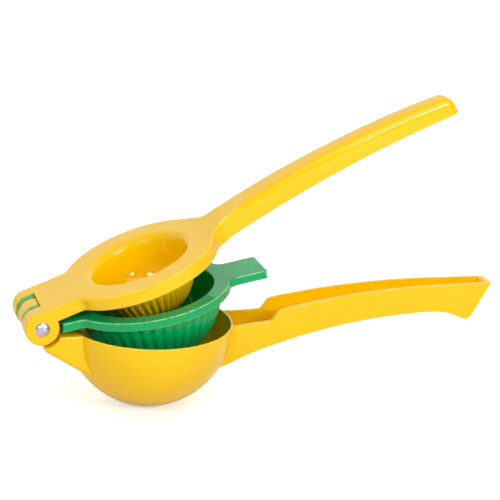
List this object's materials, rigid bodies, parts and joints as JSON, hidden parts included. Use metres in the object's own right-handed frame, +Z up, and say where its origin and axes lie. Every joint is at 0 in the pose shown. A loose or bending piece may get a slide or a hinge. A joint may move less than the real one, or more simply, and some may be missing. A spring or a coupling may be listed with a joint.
{
  "type": "hinged lemon squeezer",
  "caption": "Hinged citrus squeezer with a lemon bowl arm, a lime bowl nested in it and a press arm with a fluted cup, all turning on one rivet.",
  "frame": {"origin": "middle of the flat ground under the lemon bowl, on the bowl's own axis", "axes": "+X from the hinge to the handles, +Y along the rivet's axis, +Z up out of the lemon bowl, whose rim is level"},
  "size_m": [0.2218, 0.075, 0.1389],
  "materials": {
    "yellow_enamel": "glossy baked enamel on cast aluminium",
    "green_enamel": "glossy baked enamel on cast aluminium",
    "rivet_steel": "polished steel"
  },
  "bodies": {
    "lemon_bowl_arm": {"lemon_bowl_arm": "yellow_enamel"},
    "lime_bowl": {"lime_bowl": "green_enamel"},
    "press_arm": {"press_arm": "yellow_enamel", "hinge_rivet": "rivet_steel"}
  },
  "joints": [
    {"name": "lime_bowl_hinge", "type": "hinge", "parent": "lemon_bowl_arm", "child": "lime_bowl", "pos_m": [-0.051, 0, 0.042], "axis": [0, -1, 0], "range_deg": [-11.3, 78.7]},
    {"name": "press_arm_hinge", "type": "hinge", "parent": "lime_bowl", "child": "press_arm", "pos_m": [-0.051, 0, 0.042], "axis": [0, -1, 0], "range_deg": [-10.5, 64.5]}
  ]
}
